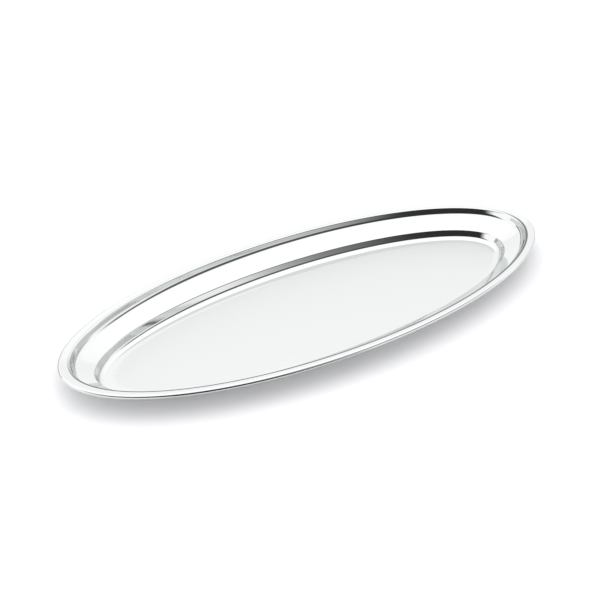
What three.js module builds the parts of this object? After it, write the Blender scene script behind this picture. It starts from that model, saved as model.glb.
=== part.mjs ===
// Oval serving tray for a whole fish: one sheet of stainless steel, deep drawn into a well with a stepped
// border, trimmed to an oval and curled under along its edge.
// Millimetres, +Z up. The origin is on the table under the middle of the tray, and +X runs along the tray.
import * as THREE from "three";

// Overall size, over the curled edge
const LENGTH = 600;
const WIDTH = 250;
const HEIGHT = 30;
const SHEET = 0.8; // thickness of the steel

// Curled edge: the sheet rolls outwards, down and back under the rim
const CURL_DIAMETER = 5.2;
const CURL_TURN = 270; // degrees, from the top of the curl

// Border, as it is at the middle of the long sides, from the curled edge inwards and from the rim downwards.
// Slopes are in degrees from level, and the radius of each bend is on its hollow side.
const RIM_WIDTH = 9.3; // from the outer edge to the corner of the upper step
const RIM_SLOPE = 8; // the rim falls from the curl towards the step
const RIM_BEND = 1.7; // between the rim and the upper step
const STEP_DROP = 8.9;
const STEP_SLOPE = 72;
const STEP_FOOT = 10; // hollow at the foot of the upper step
const SHOULDER_WIDTH = 21.1; // sloping band between the two steps
const SHOULDER_DROP = 9.1;
const WELL_BEND = 2; // between the shoulder and the well's wall
const WELL_SLOPE = 67;
const WELL_FOOT = 7; // hollow between the well's wall and its floor

// The border is wider at the two ends of the oval than at its sides by these factors.
const RIM_STRETCH = 2.7; // between the curl and the bend to the upper step
const END_STRETCH = 1.045; // from that bend inwards

// Facets
const AROUND = 88; // round the oval
const CURL_STEPS = 6;
const BEND_STEPS = 3; // in a tight bend
const HOLLOW_STEPS = 3; // in a wide hollow
const BEND_SHARE = 0.97; // most of a wall's length that its two bends may take

const radians = THREE.MathUtils.degToRad;
const origin = new THREE.Vector2();
const outwards = new THREE.Vector2(1, 0);

// How far a wall of the given slope leads inwards and down.
function fall(drop, slope) {
  return new THREE.Vector2(-drop / Math.tan(radians(slope)), -drop);
}

// Where the rim runs into the curl, and which way the rim's upper face leads there. x is the distance from
// the long axis and y the height, across the middle of the tray.
function rimEdge() {
  const direction = outwards.clone().rotateAround(origin, radians(RIM_SLOPE));
  const curlRadius = CURL_DIAMETER / 2;
  const curlCentre = new THREE.Vector2(WIDTH / 2 - curlRadius, HEIGHT - curlRadius);
  const at = curlCentre.add(new THREE.Vector2(-direction.y, direction.x).multiplyScalar(curlRadius));
  return { at, direction };
}

// The corners of the upper face from the floor up to the rim, in the same section. The upper face is rounded
// to radius at each.
function borderCorners() {
  const { at, direction } = rimEdge();
  const rimLength = (at.x - (WIDTH / 2 - RIM_WIDTH)) / direction.x;
  const rim = at.clone().addScaledVector(direction, -rimLength);
  const stepFoot = rim.clone().add(fall(STEP_DROP, STEP_SLOPE));
  const wellEdge = stepFoot.clone().add(new THREE.Vector2(-SHOULDER_WIDTH, -SHOULDER_DROP));
  const wellFoot = wellEdge.clone().add(fall(wellEdge.y - SHEET, WELL_SLOPE));
  return [
    { at: wellFoot, radius: WELL_FOOT, steps: HOLLOW_STEPS + 1 },
    { at: wellEdge, radius: WELL_BEND + SHEET, steps: BEND_STEPS },
    { at: stepFoot, radius: STEP_FOOT, steps: HOLLOW_STEPS },
    { at: rim, radius: RIM_BEND + SHEET, steps: BEND_STEPS },
  ];
}

// Stations along an arc that leaves `start` in `direction` and turns by `turn` radians, positive to the left.
// Each station has its point and the unit direction of the path there.
function arc(start, direction, radius, turn, steps) {
  const toCentre = direction.clone().rotateAround(origin, (Math.sign(turn) * Math.PI) / 2);
  const centre = start.clone().addScaledVector(toCentre, radius);
  return Array.from({ length: steps + 1 }, (_, i) => {
    const angle = (turn * i) / steps;
    return {
      at: start.clone().rotateAround(centre, angle),
      direction: direction.clone().rotateAround(origin, angle),
    };
  });
}

// How far each bend reaches from its corner along the walls. Tight bends have their full size, and a wide
// hollow is limited to what they leave of its walls.
function bendReaches(corners, walls, turns) {
  const room = walls.map((wall) => wall.length() * BEND_SHARE);
  const tightestFirst = corners.map((_, i) => i).sort((a, b) => corners[a].radius - corners[b].radius);
  const reaches = [];
  for (const i of tightestFirst) {
    const fullReach = corners[i].radius * Math.tan(Math.abs(turns[i]) / 2);
    reaches[i] = Math.min(fullReach, room[i], room[i + 1]);
    room[i] -= reaches[i];
    room[i + 1] -= reaches[i];
  }
  return reaches;
}

// Stations of the upper face from the floor's edge up over the border and round the curl to the cut edge.
function upperFace() {
  const corners = borderCorners();
  const middle = new THREE.Vector2(0, SHEET);
  const edge = rimEdge();
  const points = [middle, ...corners.map((corner) => corner.at), edge.at];
  const walls = points.slice(1).map((point, i) => point.clone().sub(points[i]));
  const turns = corners.map((_, i) => Math.atan2(walls[i].cross(walls[i + 1]), walls[i].dot(walls[i + 1])));
  const reaches = bendReaches(corners, walls, turns);
  const bends = corners.map((corner, i) => {
    const direction = walls[i].clone().normalize();
    const start = corner.at.clone().addScaledVector(direction, -reaches[i]);
    const radius = reaches[i] / Math.tan(Math.abs(turns[i]) / 2);
    return arc(start, direction, radius, turns[i], corner.steps);
  });
  const curlTop = new THREE.Vector2((WIDTH - CURL_DIAMETER) / 2, HEIGHT);
  const curl = arc(curlTop, outwards, CURL_DIAMETER / 2, -radians(CURL_TURN), CURL_STEPS);
  return [...bends.flat(), edge, ...curl];
}

// Half the oval's length where its half width is x, and how fast it grows there.
function lengthAt(x) {
  const inset = WIDTH / 2 - x;
  const rimEnd = RIM_WIDTH - RIM_BEND;
  const rim = Math.max(0, Math.min(inset, rimEnd) - CURL_DIAMETER);
  const border = Math.max(0, inset - rimEnd);
  const halfLength = LENGTH / 2 - inset - (RIM_STRETCH - 1) * rim - (END_STRETCH - 1) * border;
  if (border > 0) return { halfLength, stretch: END_STRETCH };
  return { halfLength, stretch: rim > 0 ? RIM_STRETCH : 1 };
}

// The rings of points round the tray at one station: one on the upper face and one square below it on the
// underside.
function ringPair({ at, direction }) {
  const { halfLength, stretch } = lengthAt(at.x);
  const upper = [];
  const under = [];
  for (let i = 0; i < AROUND; i++) {
    const angle = (2 * Math.PI * i) / AROUND;
    const cos = Math.cos(angle);
    const sin = Math.sin(angle);
    const point = new THREE.Vector3(halfLength * cos, at.x * sin, at.y);
    const along = new THREE.Vector3(stretch * direction.x * cos, direction.x * sin, direction.y);
    const around = new THREE.Vector3(-halfLength * sin, at.x * cos, 0);
    const normal = along.cross(around).normalize();
    upper.push(point);
    under.push(point.clone().addScaledVector(normal, -SHEET));
  }
  return { upper, under };
}

// A closed skin over a stack of rings, from the middle of the first ring to the middle of the last.
function skin(rings, firstMiddle, lastMiddle) {
  const points = [firstMiddle, ...rings.flat(), lastMiddle];
  const lastRing = rings.length - 1;
  const vertex = (ring, i) => 1 + ring * AROUND + (i % AROUND);
  const index = [];
  for (let i = 0; i < AROUND; i++) {
    index.push(0, vertex(0, i), vertex(0, i + 1));
    for (let ring = 0; ring < lastRing; ring++) {
      const near = [vertex(ring, i), vertex(ring, i + 1)];
      const far = [vertex(ring + 1, i), vertex(ring + 1, i + 1)];
      index.push(near[0], far[0], far[1], near[0], far[1], near[1]);
    }
    index.push(points.length - 1, vertex(lastRing, i + 1), vertex(lastRing, i));
  }
  const geometry = new THREE.BufferGeometry().setFromPoints(points);
  geometry.setIndex(index);
  geometry.computeVertexNormals();
  return geometry;
}

// The pressed sheet: over its upper face, round the curl, across the cut edge and back along the underside.
function trayGeometry() {
  const pairs = upperFace().map(ringPair);
  const upper = pairs.map((pair) => pair.upper);
  const under = pairs.map((pair) => pair.under).reverse();
  return skin([...upper, ...under], new THREE.Vector3(0, 0, SHEET), new THREE.Vector3(0, 0, 0));
}

const stainlessSteel = new THREE.MeshStandardMaterial({ color: 0xe6e9e8, roughness: 0.12, metalness: 1 });

const group = new THREE.Group();
const tray = new THREE.Mesh(trayGeometry(), stainlessSteel);
tray.name = "tray_pressing";
group.add(tray);

export default group;
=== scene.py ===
"""Looks of the oval stainless steel serving tray: a mirror-polished stepped border and a fine satin floor.

Metres, +Z up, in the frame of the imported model: the origin is on the table under the middle of the tray,
and +X runs along it. The tray is one pressed sheet, so one mesh stands for the CAD node, with finer facets.
"""

import math

import bpy
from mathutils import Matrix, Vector


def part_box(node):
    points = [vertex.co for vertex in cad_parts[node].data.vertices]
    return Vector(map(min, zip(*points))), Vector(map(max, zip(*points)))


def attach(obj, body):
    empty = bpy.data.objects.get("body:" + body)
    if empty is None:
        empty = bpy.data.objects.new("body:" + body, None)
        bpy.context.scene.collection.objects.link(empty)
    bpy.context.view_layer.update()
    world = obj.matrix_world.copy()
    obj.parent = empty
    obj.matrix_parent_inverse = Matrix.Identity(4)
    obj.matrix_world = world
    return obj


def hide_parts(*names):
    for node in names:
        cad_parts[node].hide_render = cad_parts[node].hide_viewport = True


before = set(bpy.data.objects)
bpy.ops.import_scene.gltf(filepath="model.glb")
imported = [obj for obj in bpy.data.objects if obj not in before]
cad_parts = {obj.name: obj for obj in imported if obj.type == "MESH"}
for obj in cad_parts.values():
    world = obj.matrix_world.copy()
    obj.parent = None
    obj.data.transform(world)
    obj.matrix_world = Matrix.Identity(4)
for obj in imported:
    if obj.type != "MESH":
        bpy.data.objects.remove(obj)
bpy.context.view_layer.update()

MM = 0.001
NODE = "tray_pressing"

# The tray's size, from the frame
LOW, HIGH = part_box(NODE)
HALF_LENGTH = (HIGH.x - LOW.x) / 2
HALF_WIDTH = (HIGH.y - LOW.y) / 2
HEIGHT = HIGH.z

# The sheet and its border, as the CAD model has them
SHEET = 0.8 * MM
CURL_RADIUS = 2.6 * MM
CURL_TURN = math.radians(270)
RIM_WIDTH = 9.3 * MM
RIM_SLOPE = math.radians(8)
RIM_BEND = 1.7 * MM
STEP_DROP = 8.9 * MM
STEP_SLOPE = math.radians(72)
STEP_FOOT = 10 * MM
SHOULDER_WIDTH = 21.1 * MM
SHOULDER_DROP = 9.1 * MM
WELL_BEND = 2.0 * MM
WELL_SLOPE = math.radians(67)
WELL_FOOT = 7 * MM
RIM_STRETCH = 2.7
END_STRETCH = 1.045

# Mesh fineness
AROUND = 384
CURL_STEPS = 26
TIGHT_STEPS = 9
HOLLOW_STEPS = 18
WALL_STEPS = 4
FLOOR_STEPS = 14


# ---------------------------------------------------------------- camera

CAMERA_AZIMUTH = math.radians(-34.05)
CAMERA_ELEVATION = math.radians(31.93)
CAMERA_DISTANCE = 1.726
CAMERA_LENS = 95.32
CAMERA_SENSOR = 36.0
CAMERA_SHIFT = (-0.0201, -0.0167)


def make_camera():
    """The camera looks at the middle of the rim's plane."""
    target = Vector((0, 0, HEIGHT))
    level = math.cos(CAMERA_ELEVATION)
    back = Vector((
        math.sin(CAMERA_AZIMUTH) * level,
        -math.cos(CAMERA_AZIMUTH) * level,
        math.sin(CAMERA_ELEVATION),
    ))
    data = bpy.data.cameras.new("camera")
    data.lens = CAMERA_LENS
    data.sensor_width = CAMERA_SENSOR
    data.shift_x, data.shift_y = CAMERA_SHIFT
    data.clip_end = 100
    camera = bpy.data.objects.new("camera", data)
    camera.location = target + back * CAMERA_DISTANCE
    camera.rotation_mode = "QUATERNION"
    camera.rotation_quaternion = (-back).to_track_quat("-Z", "Y")
    bpy.context.scene.collection.objects.link(camera)
    bpy.context.scene.camera = camera


# ---------------------------------------------------------------- the sheet's profile

def fall(drop, slope):
    """How far a wall of that slope leads inwards and down."""
    return Vector((-drop / math.tan(slope), -drop))


def rim_edge():
    """(point, direction) of the upper face where the rim runs into the curl."""
    direction = turned(Vector((1, 0)), RIM_SLOPE)
    centre = Vector((HALF_WIDTH - CURL_RADIUS, HEIGHT - CURL_RADIUS))
    return centre + turned(direction, math.pi / 2) * CURL_RADIUS, direction


def border_corners():
    """(point, radius, steps) of the upper face's corners, from the floor up to the rim.
    A point is (distance from the long axis, height), across the middle of the tray."""
    edge, direction = rim_edge()
    rim = edge - direction * ((edge.x - (HALF_WIDTH - RIM_WIDTH)) / direction.x)
    step_foot = rim + fall(STEP_DROP, STEP_SLOPE)
    well_edge = step_foot + Vector((-SHOULDER_WIDTH, -SHOULDER_DROP))
    well_foot = well_edge + fall(well_edge.y - SHEET, WELL_SLOPE)
    return [
        (well_foot, WELL_FOOT, HOLLOW_STEPS),
        (well_edge, WELL_BEND + SHEET, TIGHT_STEPS),
        (step_foot, STEP_FOOT, HOLLOW_STEPS),
        (rim, RIM_BEND + SHEET, TIGHT_STEPS),
    ]


def turned(vector, angle):
    """The vector turned left by an angle."""
    cos, sin = math.cos(angle), math.sin(angle)
    return Vector((vector.x * cos - vector.y * sin, vector.x * sin + vector.y * cos))


def arc(start, direction, radius, turn, steps):
    """(point, direction) stations along an arc that turns left by turn, or right where turn is negative."""
    centre = start + turned(direction, math.copysign(math.pi / 2, turn)) * radius
    angles = [turn * i / steps for i in range(steps + 1)]
    return [(centre + turned(start - centre, a), turned(direction, a)) for a in angles]


def straight(start, end, steps):
    """Stations strictly between two points."""
    direction = (end - start).normalized()
    return [(start.lerp(end, i / steps), direction) for i in range(1, steps)]


def upper_face():
    """(point, direction) stations of the floor inside its edge, and from there to the curl's cut edge."""
    corners = border_corners()
    curl_start, rim_direction = rim_edge()
    points = [Vector((0, SHEET))] + [c[0] for c in corners] + [curl_start]
    stations = []
    here = None
    for i, (at, radius, steps) in enumerate(corners, start=1):
        before = (at - points[i - 1]).normalized()
        after = (points[i + 1] - at).normalized()
        turn = math.atan2(before.cross(after), before.dot(after))
        reach = radius * math.tan(abs(turn) / 2)
        start = at - before * reach
        if here is not None:
            stations += straight(here, start, WALL_STEPS)
        stations += arc(start, before, radius, turn, steps)
        here = stations[-1][0]
    stations += arc(curl_start, rim_direction, CURL_RADIUS, -(RIM_SLOPE + CURL_TURN), CURL_STEPS)
    floor_edge = stations[0][0].x
    floor = [
        (Vector((floor_edge * i / FLOOR_STEPS, SHEET)), Vector((1, 0)))
        for i in range(1, FLOOR_STEPS)
    ]
    return floor, stations


# ---------------------------------------------------------------- the mesh

def half_axes(out):
    """Half the oval's length and width where its half width is out, and how fast the length grows there."""
    inset = HALF_WIDTH - out
    rim_end = RIM_WIDTH - RIM_BEND
    rim = max(0.0, min(inset, rim_end) - 2 * CURL_RADIUS)
    border = max(0.0, inset - rim_end)
    length = HALF_LENGTH - inset - (RIM_STRETCH - 1) * rim - (END_STRETCH - 1) * border
    stretch = END_STRETCH if border > 0 else RIM_STRETCH if rim > 0 else 1.0
    return length, out, stretch


def ring(station):
    """(point, normal) pairs round the tray on the upper face at one station."""
    at, direction = station
    length, width, stretch = half_axes(at.x)
    made = []
    for i in range(AROUND):
        angle = 2 * math.pi * i / AROUND
        cos, sin = math.cos(angle), math.sin(angle)
        along = Vector((stretch * direction.x * cos, direction.x * sin, direction.y))
        around = Vector((-length * sin, width * cos, 0))
        normal = along.cross(around).normalized()
        made.append((Vector((length * cos, width * sin, at.y)), normal))
    return made


def floor_ring(share, edge, height, normal):
    """A ring of the flat floor, inside its edge."""
    return [(Vector((p.x * share, p.y * share, height)), normal) for p, _ in edge]


def make_tray():
    """The sheet as one closed mesh: its upper face, and its lower face a sheet's thickness behind it."""
    floor, stations = upper_face()
    border = [ring(s) for s in stations]
    up = Vector((0, 0, 1))
    shares = [i / FLOOR_STEPS for i in range(1, FLOOR_STEPS)]
    upper = [floor_ring(s, border[0], SHEET, up) for s in shares] + border
    under_border = [[(p - n * SHEET, -n) for p, n in r] for r in reversed(border)]
    under = under_border + [floor_ring(s, border[0], 0.0, -up) for s in reversed(shares)]
    rings = upper + under
    vertices = [Vector((0, 0, SHEET))] + [p for r in rings for p, _ in r] + [Vector((0, 0, 0))]
    normals = [up] + [n for r in rings for _, n in r] + [-up]
    last = len(vertices) - 1

    def vertex(r, i):
        return 1 + r * AROUND + i % AROUND

    faces = []
    for i in range(AROUND):
        faces.append((0, vertex(0, i), vertex(0, i + 1)))
        for r in range(len(rings) - 1):
            faces.append((vertex(r, i), vertex(r + 1, i), vertex(r + 1, i + 1), vertex(r, i + 1)))
        faces.append((last, vertex(len(rings) - 1, i + 1), vertex(len(rings) - 1, i)))
    mesh = bpy.data.meshes.new("tray")
    mesh.from_pydata(vertices, [], faces)
    mesh.validate()
    mesh.shade_smooth()
    mesh.normals_split_custom_set_from_vertices(normals)
    tray = bpy.data.objects.new("tray", mesh)
    bpy.context.scene.collection.objects.link(tray)
    return tray


# ---------------------------------------------------------------- nodes

def ramp(tree, value, start, end, low=0.0, high=1.0):
    """A smooth step of a value or socket between two limits."""
    node = tree.nodes.new("ShaderNodeMapRange")
    node.interpolation_type = "SMOOTHSTEP"
    node.inputs["From Min"].default_value = start
    node.inputs["From Max"].default_value = end
    node.inputs["To Min"].default_value = low
    node.inputs["To Max"].default_value = high
    tree.links.new(value, node.inputs["Value"])
    return node.outputs[0]


def maths(tree, operation, *values):
    """A Math node on sockets or numbers."""
    node = tree.nodes.new("ShaderNodeMath")
    node.operation = operation
    for socket, value in zip(node.inputs, values):
        if isinstance(value, (int, float)):
            socket.default_value = value
        else:
            tree.links.new(value, socket)
    return node.outputs[0]


def blend(tree, share, start, end):
    """start where share is 0 and end where it is 1."""
    node = tree.nodes.new("ShaderNodeMix")
    for name, value in (("Factor", share), ("A", start), ("B", end)):
        if isinstance(value, (int, float)):
            node.inputs[name].default_value = value
        else:
            tree.links.new(value, node.inputs[name])
    return node.outputs[0]


def noise(tree, vector, scale, detail):
    """A noise texture about 0.5, stretched by scale along each axis of the vector."""
    stretch = tree.nodes.new("ShaderNodeVectorMath")
    stretch.operation = "MULTIPLY"
    stretch.inputs[1].default_value = scale
    tree.links.new(vector, stretch.inputs[0])
    node = tree.nodes.new("ShaderNodeTexNoise")
    node.inputs["Scale"].default_value = 1.0
    node.inputs["Detail"].default_value = detail
    tree.links.new(stretch.outputs[0], node.inputs["Vector"])
    return node.outputs["Fac"]


def tint(tree, share, start, end):
    """A colour blend, start where share is 0 and end where it is 1."""
    node = tree.nodes.new("ShaderNodeMix")
    node.data_type = "RGBA"
    tree.links.new(share, node.inputs["Factor"])
    for name, value in (("A", start), ("B", end)):
        socket = next(i for i in node.inputs if i.name == name and i.type == "RGBA")
        if isinstance(value, tuple):
            socket.default_value = value
        else:
            tree.links.new(value, socket)
    return next(o for o in node.outputs if o.type == "RGBA")


# ---------------------------------------------------------------- materials

STEEL = (0.63, 0.645, 0.64, 1.0)
SATIN_STEEL = (0.61, 0.625, 0.62, 1.0)
MILL_STEEL = (0.53, 0.54, 0.54, 1.0)
# The colour of a painted dark reflection along the bend from the rim to the step
PAINTED_REFLECTION_STEEL = (0.12, 0.125, 0.125, 1.0)

# The satin floor: an oval of these half axes, a little off the tray's middle. Its edge wanders by up to half
# of SATIN_WANDER, a share of the oval's size, and fades over another share, the wider one at the left end.
SATIN_MIDDLE = 4 * MM
SATIN_HALF = (0.2455, 0.0757)
SATIN_WANDER = 0.035
SATIN_FADES = (0.045, 0.015)
FADE_PLACES = (-0.24, -0.1)

# The curl starts at this share of the outline, and the underside is what faces down by this much
CURL_STARTS = (0.978, 0.984)
UNDER_FACING = (-0.3, -0.1)

# The painted dark reflection line along the bend: half its width where it is full and where it ends, the
# heights where it fades in, where it weakens across the tray, and how much of it is left on the +Y side
PAINTED_LINE_HALF = (0.7 * MM, 1.5 * MM)
PAINTED_LINE_HEIGHTS = (24 * MM, 27 * MM)
PAINTED_LINE_SIDES = (-0.02, 0.04)
PAINTED_LINE_BACK = 0.1

# Roughness of each finish, and what the marks on it add
POLISHED_ROUGHNESS = 0.03
LINE_ROUGHNESS = 0.035
SMEAR_ROUGHNESS = 0.02
SCUFF_ROUGHNESS = 0.12
SATIN_ROUGHNESS = 0.37
GRAIN_ROUGHNESS = 0.08
MILL_ROUGHNESS = 0.2
ROLLED_ROUGHNESS = 0.16
GRAIN_TINT = 1.03

# How fine each noise is along X, Y and Z, in features a metre, and the levels that show of two of them
WANDER_SCALE = (14, 14, 0)
SMEAR_SCALE = (9, 9, 9)
SMEAR_LEVELS = (0.45, 0.75)
SCUFF_SCALE = (60, 60, 60)
SCUFF_LEVELS = (0.45, 0.7)
GRAIN_SCALE = (260, 2600, 0)
ROLLED_SCALE = (30, 900, 900)
WAVE_SCALE = (11, 11, 11)

# The polishing lines are fine across the border and coarse round it. LINES_DOWN keeps them fine down its
# walls too, and MIDDLE_GUARD keeps the pattern from a division by nothing at the tray's middle.
LINE_SCALE = (6, 6, 420)
LINES_DOWN = 4.0
MIDDLE_GUARD = 0.02

# Relief, in metres
WAVE_HEIGHT = 12e-6
GRAIN_HEIGHT = 3e-6
ROLLED_HEIGHT = 5e-6


def oval(tree, x, y, half_length, half_width):
    """How far out a point is, 1 on an oval of these half axes."""
    along = maths(tree, "POWER", maths(tree, "MULTIPLY", x, 1 / half_length), 2.0)
    across = maths(tree, "POWER", maths(tree, "MULTIPLY", y, 1 / half_width), 2.0)
    return maths(tree, "SQRT", maths(tree, "ADD", along, across))


def outside(tree, x, y, half_width):
    """How far outside the ring of that half width a point is, seen from above."""
    half_length = half_axes(half_width)[0]
    over = maths(tree, "SUBTRACT", oval(tree, x, y, half_length, half_width), 1.0)
    return maths(tree, "DIVIDE", over, oval(tree, x, y, half_length ** 2, half_width ** 2))


def steel_material():
    """Stainless steel with a mirror-polished border, a fine satin floor and a mill-finished underside."""
    material = bpy.data.materials.new("stainless_steel")
    material.use_nodes = True
    tree = material.node_tree
    shader = tree.nodes["Principled BSDF"]
    shader.inputs["Metallic"].default_value = 1.0
    coordinates = tree.nodes.new("ShaderNodeTexCoord")
    place = coordinates.outputs["Object"]
    split = tree.nodes.new("ShaderNodeSeparateXYZ")
    tree.links.new(place, split.inputs[0])
    facing = tree.nodes.new("ShaderNodeSeparateXYZ")
    tree.links.new(coordinates.outputs["Normal"], facing.inputs[0])
    x, y, z = split.outputs["X"], split.outputs["Y"], split.outputs["Z"]

    # Where each finish is
    out = oval(tree, x, y, HALF_LENGTH, HALF_WIDTH)
    wander = maths(tree, "SUBTRACT", noise(tree, place, WANDER_SCALE, 3.0), 0.5)
    satin_out = oval(tree, maths(tree, "SUBTRACT", x, SATIN_MIDDLE), y, *SATIN_HALF)
    satin_out = maths(tree, "ADD", satin_out, maths(tree, "MULTIPLY", wander, SATIN_WANDER))
    fade = ramp(tree, x, *FADE_PLACES, *SATIN_FADES)
    satin = ramp(tree, maths(tree, "DIVIDE", maths(tree, "SUBTRACT", 1.0, satin_out), fade), -0.5, 0.5)
    curl = ramp(tree, out, *CURL_STARTS)
    downwards = ramp(tree, facing.outputs["Z"], *UNDER_FACING, 1, 0)
    under = maths(tree, "MULTIPLY", downwards, maths(tree, "SUBTRACT", 1.0, curl))

    # A painted dark reflection: a dark line painted along the bend from the rim to the step, much fainter on
    # the +Y side
    off_bend = maths(tree, "ABSOLUTE", outside(tree, x, y, HALF_WIDTH - RIM_WIDTH + RIM_BEND))
    line = ramp(tree, off_bend, *PAINTED_LINE_HALF, 1, 0)
    painted_line = maths(tree, "MULTIPLY", line, ramp(tree, z, *PAINTED_LINE_HEIGHTS))
    painted_line = maths(tree, "MULTIPLY", painted_line, ramp(tree, y, *PAINTED_LINE_SIDES, 1, PAINTED_LINE_BACK))

    # Polishing lines that run round the border: the noise is short across it and down its walls
    scale_in = maths(tree, "ADD", out, MIDDLE_GUARD)
    ways = tree.nodes.new("ShaderNodeCombineXYZ")
    tree.links.new(maths(tree, "DIVIDE", x, scale_in), ways.inputs["X"])
    tree.links.new(maths(tree, "DIVIDE", y, scale_in), ways.inputs["Y"])
    tree.links.new(maths(tree, "ADD", out, maths(tree, "MULTIPLY", z, LINES_DOWN)), ways.inputs["Z"])
    lines = noise(tree, ways.outputs[0], LINE_SCALE, 3.0)
    smears = ramp(tree, noise(tree, place, SMEAR_SCALE, 3.0), *SMEAR_LEVELS)
    scuffs = ramp(tree, noise(tree, place, SCUFF_SCALE, 4.0), *SCUFF_LEVELS)
    polished = maths(tree, "ADD", POLISHED_ROUGHNESS, maths(tree, "MULTIPLY", lines, LINE_ROUGHNESS))
    polished = maths(tree, "ADD", polished, maths(tree, "MULTIPLY", smears, SMEAR_ROUGHNESS))
    worn = maths(tree, "MULTIPLY", curl, maths(tree, "MULTIPLY", scuffs, SCUFF_ROUGHNESS))
    polished = maths(tree, "ADD", polished, worn)

    # The satin's grain and the mill finish, both brushed along the tray
    grain = noise(tree, place, GRAIN_SCALE, 3.0)
    matt = maths(tree, "ADD", SATIN_ROUGHNESS, maths(tree, "MULTIPLY", grain, GRAIN_ROUGHNESS))
    rolled = noise(tree, place, ROLLED_SCALE, 3.0)
    mill = maths(tree, "ADD", MILL_ROUGHNESS, maths(tree, "MULTIPLY", rolled, ROLLED_ROUGHNESS))

    rough = blend(tree, under, blend(tree, satin, polished, matt), mill)
    tree.links.new(rough, shader.inputs["Roughness"])
    grain_light = tuple(c * GRAIN_TINT for c in SATIN_STEEL[:3]) + (1.0,)
    grained = tint(tree, grain, SATIN_STEEL, grain_light)
    # The polished colour, darkened along the bend by the painted dark reflection line
    polished_with_painted_line = tint(tree, painted_line, STEEL, PAINTED_REFLECTION_STEEL)
    colour = tint(tree, under, tint(tree, satin, polished_with_painted_line, grained), MILL_STEEL)
    tree.links.new(colour, shader.inputs["Base Color"])

    # Faint waves left by the press, and the relief of the grain
    waves = maths(tree, "MULTIPLY", noise(tree, place, WAVE_SCALE, 1.0), WAVE_HEIGHT)
    relief = maths(tree, "MULTIPLY", maths(tree, "MULTIPLY", grain, satin), GRAIN_HEIGHT)
    drawn = maths(tree, "MULTIPLY", maths(tree, "MULTIPLY", rolled, under), ROLLED_HEIGHT)
    height = maths(tree, "ADD", waves, maths(tree, "ADD", relief, drawn))
    bump = tree.nodes.new("ShaderNodeBump")
    bump.inputs["Strength"].default_value = 1.0
    bump.inputs["Distance"].default_value = 1.0
    tree.links.new(height, bump.inputs["Height"])
    tree.links.new(bump.outputs[0], shader.inputs["Normal"])
    return material


# ---------------------------------------------------------------- the studio

TABLE_HALF = 6.0
TABLE_WHITE = (0.75, 0.75, 0.765, 1)
TABLE_ROUGHNESS = 0.9


def matt_material(name, colour, roughness):
    """A material with no shine."""
    material = bpy.data.materials.new(name)
    material.use_nodes = True
    shader = material.node_tree.nodes["Principled BSDF"]
    shader.inputs["Base Color"].default_value = colour
    shader.inputs["Roughness"].default_value = roughness
    shader.inputs["Specular IOR Level"].default_value = 0.0
    return material


def make_table():
    """The white table that the tray lies on."""
    mesh = bpy.data.meshes.new("table")
    corners = [(x * TABLE_HALF, y * TABLE_HALF, 0) for x, y in ((-1, -1), (1, -1), (1, 1), (-1, 1))]
    mesh.from_pydata(corners, [], [(0, 1, 2, 3)])
    table = bpy.data.objects.new("table", mesh)
    bpy.context.scene.collection.objects.link(table)
    mesh.materials.append(matt_material("table_white", TABLE_WHITE, TABLE_ROUGHNESS))


# The tent's brightness overhead, at its sides and at its far side, and where each takes over, in degrees
TENT = 1.65
SIDES = 1.5
FAR_SIDE = 1.38
FAR_TURNS = (120, 160)
TENT_EDGE = (33.0, 36.5)
TENT_RISES = (34, 60)

# The dark studio's edges, in degrees, and its brightness. On the left it begins where turn and SLANT times
# rise add up to DARK_LEFT.
SLANT = 1.3
DARK_LEFT = (-36, -16)
DARK_RIGHT = (98, 112)
DARK_TURNS = (20, 75)
DARK = (0.04, 0.16)

# The lighter strip low on its right: its brightness, how far round and how high it reaches, in degrees, and
# its dimmer foot at the horizon
STRIP = 1.3
STRIP_TURNS = (30, 66)
STRIP_RISES = (7, 12)
LIFT_TURNS = (68, 92)
LIFT = 12
FOOT = 0.9
FOOT_RISES = (1, 5)
FOOT_TURNS = (75, 92)

# The grey gaps low down towards the two back corners: the left and the right one's brightness, where they
# start, end and stop upwards, in degrees, and where left changes to right
GAPS = (0.2, 0.75)
GAP_STARTS = (106, 116)
GAP_ENDS = (158, 166)
GAP_RISES = (10, 16)
GAP_SWITCH = (-20, 20)


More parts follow.
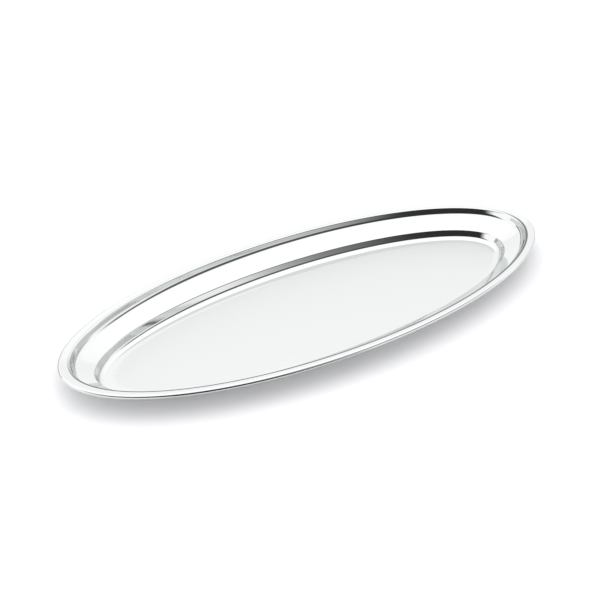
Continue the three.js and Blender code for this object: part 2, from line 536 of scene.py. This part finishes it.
def make_world():
    """A white tent overhead and round three sides, and a dark studio behind the camera.
    Angles are in degrees; turn is the azimuth from the camera, positive to the camera's right."""
    world = bpy.data.worlds.new("studio")
    bpy.context.scene.world = world
    world.use_nodes = True
    tree = world.node_tree
    background = tree.nodes["Background"]
    background.inputs["Color"].default_value = (1, 1, 1, 1)
    coordinates = tree.nodes.new("ShaderNodeTexCoord")
    to_camera = tree.nodes.new("ShaderNodeVectorRotate")
    to_camera.rotation_type = "Z_AXIS"
    to_camera.inputs["Angle"].default_value = math.pi / 2 - CAMERA_AZIMUTH
    tree.links.new(coordinates.outputs["Generated"], to_camera.inputs["Vector"])
    split = tree.nodes.new("ShaderNodeSeparateXYZ")
    tree.links.new(to_camera.outputs[0], split.inputs[0])
    turn = maths(tree, "DEGREES", maths(tree, "ARCTAN2", split.outputs["Y"], split.outputs["X"]))
    rise = maths(tree, "DEGREES", maths(tree, "ARCSINE", split.outputs["Z"]))
    away = maths(tree, "ABSOLUTE", turn)

    # The dark studio behind the camera and to its right
    slanted = maths(tree, "ADD", turn, maths(tree, "MULTIPLY", rise, SLANT))
    behind_camera = ramp(tree, slanted, *DARK_LEFT)
    behind_camera = maths(tree, "MULTIPLY", behind_camera, ramp(tree, turn, *DARK_RIGHT, 1, 0))
    lowered = maths(tree, "SUBTRACT", rise, ramp(tree, turn, *LIFT_TURNS, 0, LIFT))
    low = maths(tree, "MULTIPLY", ramp(tree, turn, *STRIP_TURNS), ramp(tree, lowered, *STRIP_RISES, 1, 0))
    strip = blend(tree, ramp(tree, rise, *FOOT_RISES), ramp(tree, turn, *FOOT_TURNS, FOOT, STRIP), STRIP)
    dark = blend(tree, low, ramp(tree, turn, *DARK_TURNS, *DARK), strip)

    # The tent's sides
    gap = maths(tree, "MULTIPLY", ramp(tree, away, *GAP_STARTS), ramp(tree, away, *GAP_ENDS, 1, 0))
    gap = maths(tree, "MULTIPLY", gap, ramp(tree, rise, *GAP_RISES, 1, 0))
    plain = ramp(tree, away, *FAR_TURNS, SIDES, FAR_SIDE)
    sides = blend(tree, gap, plain, ramp(tree, turn, *GAP_SWITCH, *GAPS))
    sides = blend(tree, behind_camera, sides, dark)

    tent = ramp(tree, rise, *TENT_RISES, SIDES, TENT)
    strength = blend(tree, ramp(tree, rise, *TENT_EDGE), sides, tent)
    tree.links.new(strength, background.inputs["Strength"])


# The softbox: its place as seen from the tray, its size, and its brightness
FILL_TURN = math.radians(10)
FILL_ELEVATION = math.radians(22)
FILL_DISTANCE = 3.0
FILL_SIZE = (3.0, 1.4)
FILL_RADIANCE = 6.0

# The black card: a sector between two turns from the camera, from an oval round the tray out to a circle
CARD_TURNS = (math.radians(-28), math.radians(40))
CARD_INNER = (0.34, 0.165)
CARD_OUTER = 4.0
CARD_LIFT = 0.5 * MM
CARD_STEPS = 24
CARD_BLACK = (0.03, 0.03, 0.03, 1)
CARD_ROUGHNESS = 1.0


def make_black_card():
    """A black card on the table before the tray, which shows only in the polished steel."""
    points = []
    for i in range(CARD_STEPS + 1):
        azimuth = CAMERA_AZIMUTH + CARD_TURNS[0] + (CARD_TURNS[1] - CARD_TURNS[0]) * i / CARD_STEPS
        direction = Vector((math.sin(azimuth), -math.cos(azimuth), 0))
        reach = 1 / math.hypot(direction.x / CARD_INNER[0], direction.y / CARD_INNER[1])
        points += [direction * reach, direction * CARD_OUTER]
    faces = [(2 * i, 2 * i + 1, 2 * i + 3, 2 * i + 2) for i in range(CARD_STEPS)]
    mesh = bpy.data.meshes.new("black_card")
    mesh.from_pydata([point + Vector((0, 0, CARD_LIFT)) for point in points], [], faces)
    card = bpy.data.objects.new("black_card", mesh)
    bpy.context.scene.collection.objects.link(card)
    mesh.materials.append(matt_material("card_black", CARD_BLACK, CARD_ROUGHNESS))
    card.visible_camera = False
    card.visible_diffuse = False
    card.visible_shadow = False


def make_fill():
    """A large softbox beside the camera that lifts the tray's shadow and doesn't show in the steel."""
    azimuth = CAMERA_AZIMUTH + FILL_TURN
    level = math.cos(FILL_ELEVATION)
    direction = Vector((math.sin(azimuth) * level, -math.cos(azimuth) * level, math.sin(FILL_ELEVATION)))
    data = bpy.data.lights.new("fill", "AREA")
    data.shape = "RECTANGLE"
    data.size, data.size_y = FILL_SIZE
    data.energy = FILL_RADIANCE * math.pi * FILL_SIZE[0] * FILL_SIZE[1]
    fill = bpy.data.objects.new("fill", data)
    fill.location = direction * FILL_DISTANCE
    fill.rotation_mode = "QUATERNION"
    fill.rotation_quaternion = (-direction).to_track_quat("-Z", "Y")
    fill.visible_glossy = False
    bpy.context.scene.collection.objects.link(fill)


# ---------------------------------------------------------------- the scene

make_camera()
bpy.context.scene.view_settings.view_transform = "Standard"
tray = make_tray()
tray.data.materials.append(steel_material())
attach(tray, "root")
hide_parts(NODE)
make_table()
make_world()
make_black_card()
make_fill()
